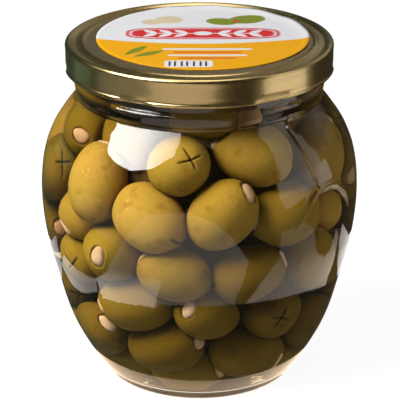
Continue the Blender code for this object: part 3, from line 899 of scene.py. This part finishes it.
def reach_towards(olive, way):
    """How far an olive's surface lies from its centre in a direction."""
    along = float(np.dot(olive["axis"], way)) ** 2
    return 1.0 / math.sqrt(along / (olive["length"] / 2) ** 2
                           + (1.0 - along) / (olive["width"] / 2) ** 2)


for olive in olives:
    olive["planes"] = []
    for other in olives:
        apart = other["centre"] - olive["centre"]
        distance = float(np.linalg.norm(apart))
        if other is olive or distance > NEIGHBOUR_DISTANCE:
            continue
        way = apart / distance
        mine, theirs = reach_towards(olive, way), reach_towards(other, -way)
        press = mine + theirs - distance
        if press > -NEAR_MISS:
            olive["planes"].append((way, mine - press / 2 - CONTACT_GAP))
print(sum(len(o["planes"]) for o in olives) // 2, "contacts")

# %% [markdown]
# One olive is a grid of rings round its long axis. The stuffed end has an oval dish where the
# stone was pushed out, and the other end carries the cross that the pitting blade left. Both
# could be bump in the material, but they show at the outline, so they are in the mesh. What
# is cut is also written in an attribute, as a mask of painted shade for the dish and the slits.
# The olive's skin colour, whose tone also carries painted shade, is written beside it, so that
# one material can colour them all.

# %% One olive
SKIN_YELLOW, SKIN_GREEN, SKIN_BROWN = (0.300, 0.178, 0.030), (0.200, 0.122, 0.013), (0.120, 0.070, 0.006)
# Tones past brown, up to STRONGEST_TONE, darken the skin further as painted shade.
STRONGEST_TONE = 1.4
DISH_RADIUS, DISH_DEPTH = 3.9, 2.0
DISH_OVALNESS = 0.17
RIM_HEIGHT = 0.15
CROSS_ARMS = 4
SLIT_LENGTH, SLIT_HALF_WIDTH, SLIT_DEPTH = 5.2, 0.55, 1.1
DIMPLE_DEPTH = 0.5


def skin_colour(tone):
    """Skin colour from yellow (-1) over green (0) to brown (+1) and a little beyond, where the browner
    tones also stand for painted shade.
    """
    end = SKIN_YELLOW if tone < 0.0 else SKIN_BROWN
    share = min(STRONGEST_TONE, abs(tone))
    return np.array(SKIN_GREEN) * (1.0 - share) + np.array(end) * share


def polar_rings(count):
    """Polar angles from the stuffed end to the cross, closer together at both ends."""
    even = np.linspace(0.0, 1.0, count) * math.pi
    return even - 0.62 * np.sin(2.0 * even) / 2.0


def wrapped_quads(rows, columns):
    """Faces of a grid that closes round its columns."""
    index = np.arange(rows * columns).reshape(rows, columns)
    a, b = index[:-1], index[1:]
    return np.stack([a, b, np.roll(b, -1, axis=1), np.roll(a, -1, axis=1)], axis=-1).reshape(-1, 4)


def laid_along(axis, x, y, z):
    """Points whose z lies along an axis."""
    basis = np.array(Vector(axis).to_track_quat("Z", "Y").to_matrix())
    return np.stack([x, y, z], axis=-1).reshape(-1, 3) @ basis.T


def one_olive(olive, rng, columns, rings):
    """Vertices, faces, cut shade mask and skin colour of one olive, in millimetres."""
    phi = np.arange(columns) * 2.0 * math.pi / columns
    T, P = np.meshgrid(polar_rings(rings)[1:-1], phi, indexing="ij")
    T = np.vstack([np.zeros((1, columns)), T, np.full((1, columns), math.pi)])
    P = np.vstack([phi[None, :], P, phi[None, :]])
    stuffed_end, crossed_end = T < 1.2, T > 1.9
    lobes = rng.uniform(0.0, 2.0 * math.pi, 4)
    swell = 1.0 + 0.012 * np.cos(2 * P + lobes[0]) * np.sin(T) + 0.010 * np.cos(P + lobes[1]) * np.cos(T)
    swell += 0.008 * np.sin(3 * P + lobes[2]) * np.sin(2 * T)
    egg = 1.0 + rng.uniform(-0.05, 0.07) * np.cos(T)
    across = 0.5 * olive["width"] * np.sin(T) ** 0.94 * egg * swell
    along = 0.5 * olive["length"] * np.cos(T) * swell
    dish_radius = DISH_RADIUS * (1.0 + DISH_OVALNESS * np.cos(2 * (P - olive["turn"])))
    dish = np.clip(1.0 - across / dish_radius, 0.0, 1.0) * stuffed_end
    along -= DISH_DEPTH * np.clip(dish * 3.2, 0.0, 1.0) ** 0.8
    along += RIM_HEIGHT * np.exp(-((across / dish_radius - 1.12) / 0.16) ** 2) * stuffed_end
    # The dish and the slits make the mask for painted shade in the cuts.
    cut_shade = np.clip(dish * 6.0, 0.0, 1.0)
    start = rng.uniform(0.0, math.pi)
    for arm in range(CROSS_ARMS):
        angle = start + 2.0 * math.pi * arm / CROSS_ARMS + rng.uniform(-0.22, 0.22)
        reach = SLIT_LENGTH * rng.uniform(0.75, 1.1)
        sideways = across * np.abs(np.sin(P - angle))
        forward = across * np.cos(P - angle)
        groove = np.clip(1.0 - sideways / SLIT_HALF_WIDTH, 0.0, 1.0)
        groove *= np.clip((reach - forward) / 1.2, 0.0, 1.0) * (forward > -0.4) * crossed_end
        along += SLIT_DEPTH * groove
        cut_shade = np.maximum(cut_shade, groove)
    along += DIMPLE_DEPTH * np.exp(-((math.pi - T) / 0.55) ** 2)
    points = laid_along(olive["axis"], across * np.cos(P), across * np.sin(P), along)
    for way, limit in olive["planes"]:
        past = points @ way - limit
        points = points - way * (0.5 * (past + np.sqrt(past * past + 0.09)))[:, None]
    skin = np.tile(skin_colour(olive["tone"]), (len(points), 1))
    return points + olive["centre"], wrapped_quads(len(T), columns), cut_shade.ravel(), skin


print("yellow, green and brown skin:", [skin_colour(tone).round(3).tolist() for tone in (-1, 0, 1)])

# %% [markdown]
# All olives together are one object. Seventy objects would look the same, but one is easier
# to dress and to hand on. The front ones get a finer grid than those at the back.

# %% The olives
FINE_GRID, COARSE_GRID = (58, 44), (28, 24)
WELD = 0.001


def joined_mesh(name, parts):
    """One object out of (points, quads, cut shade, skin) parts, with both attributes."""
    points = np.vstack([p[0] for p in parts])
    starts = np.cumsum([0] + [len(p[0]) for p in parts[:-1]])
    quads = np.vstack([p[1] + start for p, start in zip(parts, starts)])
    cut_shade = np.concatenate([p[2] for p in parts])
    skin = np.vstack([p[3] for p in parts])
    mesh = bpy.data.meshes.new(name)
    mesh.from_pydata((points * MM).tolist(), [], quads.tolist())
    colours = mesh.attributes.new("skin", "FLOAT_COLOR", "POINT")
    colours.data.foreach_set("color", np.hstack([skin, np.ones((len(skin), 1))]).ravel())
    marks = mesh.attributes.new("cut_shade", "FLOAT", "POINT")
    marks.data.foreach_set("value", cut_shade.astype(np.float32))
    bm = bmesh.new()
    bm.from_mesh(mesh)
    bmesh.ops.remove_doubles(bm, verts=bm.verts, dist=WELD * MM)
    return object_from(bm, name, mesh)


rng = np.random.default_rng(SEED + 1)
heap = joined_mesh("olives_stuffed", [
    one_olive(olive, rng, *(FINE_GRID if olive["where"] == "front" else COARSE_GRID))
    for olive in olives])
print("heap", [round(side / MM, 1) for side in heap.dimensions], "mm")

# %% [markdown]
# Pickled skin is smooth and dull, a little mottled, with pale specks and bruised browner
# patches. Photographed skin would need an unwrapped picture for each olive. Here the skin
# colour comes from the attribute, large noise shifts it greener, smaller noise bruises and
# mottles it, and the dish and the slits are painted near black as shade.

# %% Olive skin
def olive_material():
    """Pickled olive skin."""
    mat, tree, shader = principled("olive_skin")
    skin = attribute(tree, "skin", "Color")
    for factor, tint in (((15.0, 0.35, 0.75, 2.0), (0.86, 0.95, 0.70)),
                         ((6.0, 0.58, 0.80, 2.0), (0.66, 0.52, 0.42)),
                         ((1.6, 0.3, 0.8, 4.0), (1.16, 1.12, 1.08)),
                         ((0.9, 0.76, 0.84, 0.0), (1.5, 1.55, 2.2))):
        skin = colour_mix(tree, use_group(tree, mottle, *factor), skin, tint, "MULTIPLY")
    # The dish and the slits are painted near black as shade in the cuts.
    skin = colour_mix(tree, attribute(tree, "cut_shade", "Fac"), skin, (0.022, 0.011, 0.003))
    pores = bump(tree, use_group(tree, mottle, 1.1, 0.3, 0.7, 2.0), 0.08, 0.15)
    feed(tree, shader, {"Base Color": skin, "Roughness": 0.5, "Specular IOR Level": 0.03,
                        "Normal": pores})
    return mat


dressed(heap, "olives", olive_material())

# %% [markdown]
# Each stuffed end shows the blunt tip of a garlic clove, cream with a tan flush. A whole clove
# could be pushed through each olive, but only its tip shows. One piece has come out of its
# olive and floats under the neck.

# %% Garlic
CLOVE_RADIUS, CLOVE_REACH = 4.6, 4.5
CLOVE_COLUMNS, CLOVE_RINGS = 18, 12
GARLIC_PALE, GARLIC_TAN = np.array((0.55, 0.41, 0.26)), np.array((0.38, 0.23, 0.11))


def one_clove(olive, rng):
    """The tip of a clove that sits in the dish of an olive."""
    theta = np.linspace(0.0, math.pi, CLOVE_RINGS)
    phi = np.arange(CLOVE_COLUMNS) * 2.0 * math.pi / CLOVE_COLUMNS
    T, P = np.meshgrid(theta, phi, indexing="ij")
    flat = rng.uniform(0.68, 0.80)
    across = np.sin(T) ** 0.45 * (1.0 + 0.06 * np.cos(3 * P + rng.uniform(0.0, 6.0)))
    x, y = CLOVE_RADIUS * across * np.cos(P), CLOVE_RADIUS * flat * across * np.sin(P)
    z = CLOVE_REACH * np.cos(T) + 0.5 * olive["length"] - CLOVE_REACH + rng.uniform(-0.2, 0.4)
    c, s = math.cos(olive["turn"]), math.sin(olive["turn"])
    points = laid_along(olive["axis"], c * x - s * y, s * x + c * y, z) + olive["centre"]
    warm = rng.uniform(0.0, 1.0)
    skin = np.tile(GARLIC_PALE * (1.0 - warm) + GARLIC_TAN * warm, (len(points), 1))
    return points, wrapped_quads(CLOVE_RINGS, CLOVE_COLUMNS), np.zeros(len(points)), skin


def garlic_material():
    """Pale garlic flesh with a faint tan flush."""
    mat, tree, shader = principled("garlic")
    flushed = colour_mix(tree, use_group(tree, mottle, 3.0, 0.45, 0.8, 2.0),
                         attribute(tree, "skin", "Color"), (0.85, 0.68, 0.48), "MULTIPLY")
    feed(tree, shader, {"Base Color": flushed, "Roughness": 0.45, "Specular IOR Level": 0.15})
    return mat


loose_piece = {"turn": 0.4, "length": 2 * CLOVE_REACH, "axis": direction(75, 12),
               "centre": 38.0 * direction(26, 0) + np.array((0.0, 0.0, 118.0))}
garlic = joined_mesh("garlic_cloves", [one_clove(olive, rng) for olive in olives + [loose_piece]])
dressed(garlic, None, garlic_material())

# %% [markdown]
# Deep in the jar no single olive shows, only shade. More olives could fill the middle, but a
# plain turned core is enough to keep light from coming through from behind. Its near-black
# brown is painted shade for the olives deep in the middle.

# %% Core
CORE_DEPTH, CORE_LEAST = 24.0, 14.0
core_rings = [(max(CORE_LEAST, cavity_radius(z) - CORE_DEPTH), z) for z in span(5.0, 118.0, 6.0)]
core = turned_body("olive_core", core_rings, span(0.0, 350.0, 10.0))
core_mat, core_tree, core_shader = principled("painted_deep_shade")
# The core's colour is painted shade: near-black brown for the unlit olives in the middle.
core_shade_colour = colour_mix(core_tree, use_group(core_tree, mottle, 9.0, 0.3, 0.7, 2.0),
                         (0.050, 0.030, 0.010), (0.100, 0.060, 0.020))
feed(core_tree, core_shader, {"Base Color": core_shade_colour, "Roughness": 0.9,
                              "Specular IOR Level": 0.0})
dressed(core, None, core_mat)

# %% [markdown]
# The lid is pressed tinplate under a transparent gold lacquer. Its ridges could be cut as
# edge loops in a disc with bevels. Here they are a profile turned round: panel, ridge,
# groove, rim, skirt and a rolled hem, into which six lugs are pressed.

# %% Lid
LID_RADIUS, LID_TOP_Z, LID_HEM_Z = 51.8, 137.1, 126.1
LID_METAL = 0.7
PANEL_Z = 136.5
RIDGE_RADIUS, RIDGE_HEIGHT, RIDGE_WIDTH = 44.9, 0.55, 0.75
GROOVE_RADIUS, GROOVE_DEPTH, GROOVE_WIDTH = 47.9, 0.45, 1.3
RIM_RISE, RIM_ROUND = 0.6, 1.5
HEM_ROLL = 0.85
LUG_COUNT, LUG_DEPTH, LUG_HALF_WIDTH = 6, 0.8, 6.5


def lid_rings():
    """Rings of the lid as radius, height and how much a lug presses them in."""
    rings = [(r, PANEL_Z, 0.0) for r in (20.0, 38.0, 41.0)]
    for r in span(42.0, 50.3, 0.3):
        ridge = RIDGE_HEIGHT * math.exp(-((r - RIDGE_RADIUS) / RIDGE_WIDTH) ** 2)
        groove = GROOVE_DEPTH * math.exp(-((r - GROOVE_RADIUS) / GROOVE_WIDTH) ** 2)
        rings.append((r, PANEL_Z + ridge - groove + RIM_RISE * smoothstep(48.2, 50.1, r), 0.0))
    for share in span(0.0, 1.0, 0.1):
        a = share * math.pi / 2
        rings.append((LID_RADIUS - RIM_ROUND * (1.0 - math.sin(a)),
                      LID_TOP_Z - RIM_ROUND * (1.0 - math.cos(a)), 0.0))
    rings.append((LID_RADIUS - 0.05, LID_TOP_Z - 2.4, 0.0))
    rings += [(LID_RADIUS - 0.1, z, 0.0) for z in span(LID_TOP_Z - 3.4, LID_HEM_Z + 3.2, 0.9)]
    rings += [(LID_RADIUS - 0.15, LID_HEM_Z + 2.4, 0.2), (LID_RADIUS - 0.1, LID_HEM_Z + 2.0, 0.4)]
    for share in span(0.0, 1.0, 0.1):
        a = math.radians(60.0 - 210.0 * share)
        rings.append((LID_RADIUS - 0.55 + HEM_ROLL * math.cos(a),
                      LID_HEM_Z + HEM_ROLL * (1.0 + math.sin(a)),
                      0.6 + 0.4 * smoothstep(0.0, 0.3, share)))
    inner = LID_RADIUS - LID_METAL - 0.1
    rings += [(inner, LID_HEM_Z + 2.4, 0.4), (inner, LID_HEM_Z + 3.2, 0.0),
              (inner, PANEL_Z - LID_METAL - 0.4, 0.0), (inner - 1.1, PANEL_Z - LID_METAL, 0.0),
              (10.0, PANEL_Z - LID_METAL, 0.0)]
    return rings


def lid_place(ring, azimuth):
    """Radius and height of one point of the lid, with the lugs pressed in."""
    radius, z, press = ring
    pitch = 360.0 / LUG_COUNT
    off_lug = abs((azimuth - LUG_AZIMUTH + pitch / 2) % pitch - pitch / 2)
    pressed = 1.0 - smoothstep(LUG_HALF_WIDTH - 2.5, LUG_HALF_WIDTH + 3.5, off_lug)
    return radius - LUG_DEPTH * press * pressed, z


def lacquer_material():
    """Gold lacquer over tinplate: a tinted metal under a clear coat with a faint peel."""
    mat, tree, shader = principled("gold_lacquer")
    worn = colour_mix(tree, use_group(tree, mottle, 22.0, 0.3, 0.7, 2.0), (0.43, 0.315, 0.140),
                      (0.38, 0.295, 0.130))
    peel = bump(tree, use_group(tree, mottle, 1.2, 0.3, 0.7, 1.0), 0.01, 1.0)
    feed(tree, shader, {"Base Color": worn, "Metallic": 1.0, "Roughness": 0.26,
                        "Coat Weight": 0.6, "Coat Roughness": 0.08, "Normal": peel})
    return mat


lid = turned_body("lid_cap", lid_rings(), span(0.0, 358.8, 1.2), lid_place)
dressed(lid, "lid", lacquer_material())

# %% [markdown]
# The label is a glossy paper disc, stuck on a little off centre, so that its back edge climbs
# the lid's inner ridge and ripples there. It could be draped over the lid as cloth. A formula
# for its height does the same for so small a lift.

# %% Label disc
LABEL_RADIUS, LABEL_THICKNESS, LABEL_LIFT = 41.3, 0.12, 0.05
LABEL_CENTRE = (1.4, 3.4)
LABEL_COLUMNS = 180
CLIMB_FROM, CLIMB_TO, CLIMB_HEIGHT = 38.3, 44.6, 0.56
RIPPLE_FROM, RIPPLE_HEIGHT, RIPPLES = 42.0, 0.18, 14.0


def label_height(x, y):
    """Height of the label's underside: it lies on the panel and climbs the inner ridge."""
    radius = math.hypot(x, y)
    climb = CLIMB_HEIGHT * smoothstep(CLIMB_FROM, CLIMB_TO, radius)
    ripple = RIPPLE_HEIGHT * (1.0 + math.sin(math.atan2(x, y) * RIPPLES))
    return PANEL_Z + LABEL_LIFT + climb + ripple * smoothstep(RIPPLE_FROM, RIDGE_RADIUS, radius)


def make_label():
    """The paper disc as a thin closed body."""
    bm = bmesh.new()
    rims = []
    for lift in (LABEL_THICKNESS, 0.0):
        rows = []
        for radius in [0.0] + span(4.0, LABEL_RADIUS, 1.2):
            row = []
            for i in range(LABEL_COLUMNS if radius else 1):
                angle = 2 * math.pi * i / LABEL_COLUMNS
                x = LABEL_CENTRE[0] + radius * math.sin(angle)
                y = LABEL_CENTRE[1] - radius * math.cos(angle)
                row.append(bm.verts.new((x * MM, y * MM, (label_height(x, y) + lift) * MM)))
            rows.append(row)
        for i in range(LABEL_COLUMNS):
            j = (i + 1) % LABEL_COLUMNS
            bm.faces.new((rows[0][0], rows[1][i], rows[1][j]))
            for inside, outside in zip(rows[1:], rows[2:]):
                bm.faces.new((inside[i], outside[i], outside[j], inside[j]))
        rims.append(rows[-1])
    for i in range(LABEL_COLUMNS):
        j = (i + 1) % LABEL_COLUMNS
        bm.faces.new((rims[0][i], rims[1][i], rims[1][j], rims[0][j]))
    return object_from(bm, "label_disc")


label = make_label()
print("label", [round(side / MM, 1) for side in label.dimensions], "mm")

# %% [markdown]
# The print is broad fields of colour and simple shapes. A picture could be mapped on the disc,
# but shapes stay sharp at any size. Each is a mask between a lozenge and a bar, from one node
# group that is placed once for each shape.

# %% Printed shapes
SHAPE_SIZES = ("Centre X", "Centre Y", "Half Length", "Half Width", "Turn", "Squareness")
shape, given, leave = new_group("printed_shape", SHAPE_SIZES, "Mask", "Float")
place = axis_parts(shape, object_place(shape))
x = maths(shape, "SUBTRACT", maths(shape, "DIVIDE", place["X"], MM), given["Centre X"])
y = maths(shape, "SUBTRACT", maths(shape, "DIVIDE", place["Y"], MM), given["Centre Y"])
angle = maths(shape, "RADIANS", given["Turn"])
c, s = maths(shape, "COSINE", angle), maths(shape, "SINE", angle)
along = maths(shape, "ADD", maths(shape, "MULTIPLY", x, c), maths(shape, "MULTIPLY", y, s))
across = maths(shape, "SUBTRACT", maths(shape, "MULTIPLY", y, c), maths(shape, "MULTIPLY", x, s))
terms = []
for offset, half in ((along, given["Half Length"]), (across, given["Half Width"])):
    share = maths(shape, "ABSOLUTE", maths(shape, "DIVIDE", offset, half))
    terms.append(maths(shape, "POWER", share, given["Squareness"]))
feed(shape, leave, {"Mask": mapped(shape, maths(shape, "ADD", *terms), 1.08, 0.92)})
print("shape group with", len(shape.nodes), "nodes")

# %% [markdown]
# White above and orange-yellow below, with a bent edge between them. A red band carries white
# leaves along a stem. Above it lie two olives and two cloves, and below it bars, two leaves
# and a striped box.

# %% Label print
PAPER_WHITE = (0.335, 0.340, 0.362)
INK_ORANGE = (0.365, 0.172, 0.0005)
INK_RED = (0.270, 0.009, 0.013)
INK_GREEN = (0.085, 0.105, 0.008)
INK_CREAM = (0.290, 0.245, 0.170)
INK_BLACK = (0.022, 0.022, 0.024)
FIELD_EDGE_Y, FIELD_BEND, FIELD_SOFTNESS = -5.5, 4.06, 0.2
BAND_X, BAND_Y = 1.4, 8.0
BAR, BAND, OVAL, LEAF = 8, 3.6, 2, 1.4
# Each print: ink, centre x and y, half length, half width, turn in degrees, squareness
PRINTS = [
    (INK_RED, BAND_X, BAND_Y, 30.0, 7.6, 0, BAND), (PAPER_WHITE, BAND_X, BAND_Y, 28.6, 6.5, 0, BAND),
    (INK_RED, BAND_X, BAND_Y, 27.8, 5.9, 0, BAND), (PAPER_WHITE, BAND_X, BAND_Y, 22.0, 0.35, 0, BAR),
    (PAPER_WHITE, BAND_X, BAND_Y, 3.6, 2.6, 0, OVAL), (INK_GREEN, 19.0, 27.0, 7.5, 5.6, 20, OVAL),
    (INK_GREEN, 9.0, 24.0, 6.5, 4.6, -15, OVAL), (INK_RED, 14.4, 24.6, 1.2, 1.4, 0, OVAL),
    (INK_CREAM, -12.0, 26.5, 5.5, 5.0, 0, OVAL), (INK_CREAM, -18.5, 23.5, 4.6, 3.6, 15, OVAL),
    (INK_GREEN, -24.0, -14.0, 7.0, 2.0, 55, LEAF), (INK_GREEN, -19.0, -18.0, 7.0, 2.0, 35, LEAF),
    (PAPER_WHITE, 3.0, -12.5, 17.0, 1.0, 0, BAR), (INK_RED, 3.0, -16.4, 13.0, 0.6, 0, BAR),
    (PAPER_WHITE, 3.0, -20.2, 15.0, 0.9, 0, BAR), (INK_RED, 3.0, -23.6, 11.0, 0.6, 0, BAR),
    (PAPER_WHITE, -4.0, -30.5, 9.0, 4.0, 0, BAR),
]
# Leaves in pairs along the white stem, and the stripes in the white box
PRINTS += [(PAPER_WHITE, BAND_X + side * reach, BAND_Y + up * 2.2, 3.4, 1.5, side * up * 40, LEAF)
           for side in (-1, 1) for reach in (8.5, 14.5, 20.5) for up in (-1, 1)]
PRINTS += [(INK_BLACK, x, -30.5, 0.42, 2.9, 0, BAR) for x in (-11, -9, -6.5, -4.5, -2, 0.5, 2.5)]


def label_material():
    """Printed paper under a thin varnish."""
    mat, tree, shader = principled("label_paper")
    place = axis_parts(tree, object_place(tree))
    bend = maths(tree, "MULTIPLY", maths(tree, "MULTIPLY", place["X"], place["X"]), -FIELD_BEND)
    height = maths(tree, "ADD", bend, place["Y"])
    above = mapped(tree, height, (FIELD_EDGE_Y - FIELD_SOFTNESS) * MM,
                   (FIELD_EDGE_Y + FIELD_SOFTNESS) * MM)
    printed = colour_mix(tree, above, INK_ORANGE, PAPER_WHITE)
    for ink, *sizes in PRINTS:
        printed = colour_mix(tree, use_group(tree, shape, *sizes), printed, ink)
    feed(tree, shader, {"Base Color": printed, "Roughness": 0.4, "Specular IOR Level": 0.25})
    return mat


dressed(label, "label", label_material())
